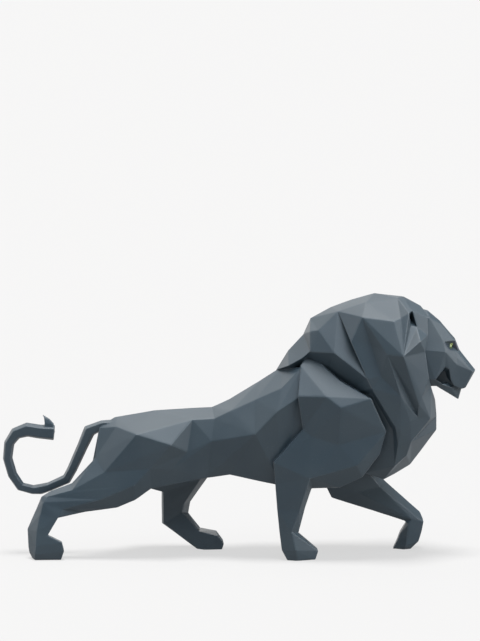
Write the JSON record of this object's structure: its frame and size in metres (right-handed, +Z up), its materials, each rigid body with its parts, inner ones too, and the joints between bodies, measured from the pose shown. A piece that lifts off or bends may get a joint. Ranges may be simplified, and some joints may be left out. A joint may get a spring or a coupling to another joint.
{
  "type": "lion figurine",
  "caption": "Faceted porcelain figurine of a male lion in full stride, with its mouth a little open and a curled tail, standing on its feet.",
  "frame": {"origin": "on the floor under the middle of the figure's length and width", "axes": "+X from the tail towards the nose, +Y to the lion's left side, +Z up"},
  "size_m": [0.51, 0.1224, 0.2839],
  "materials": {
    "glaze": "matte slate-blue glaze on porcelain, with a small gold spot painted for each eye"
  },
  "bodies": {
    "root": {"lion": "glaze"}
  },
  "joints": []
}
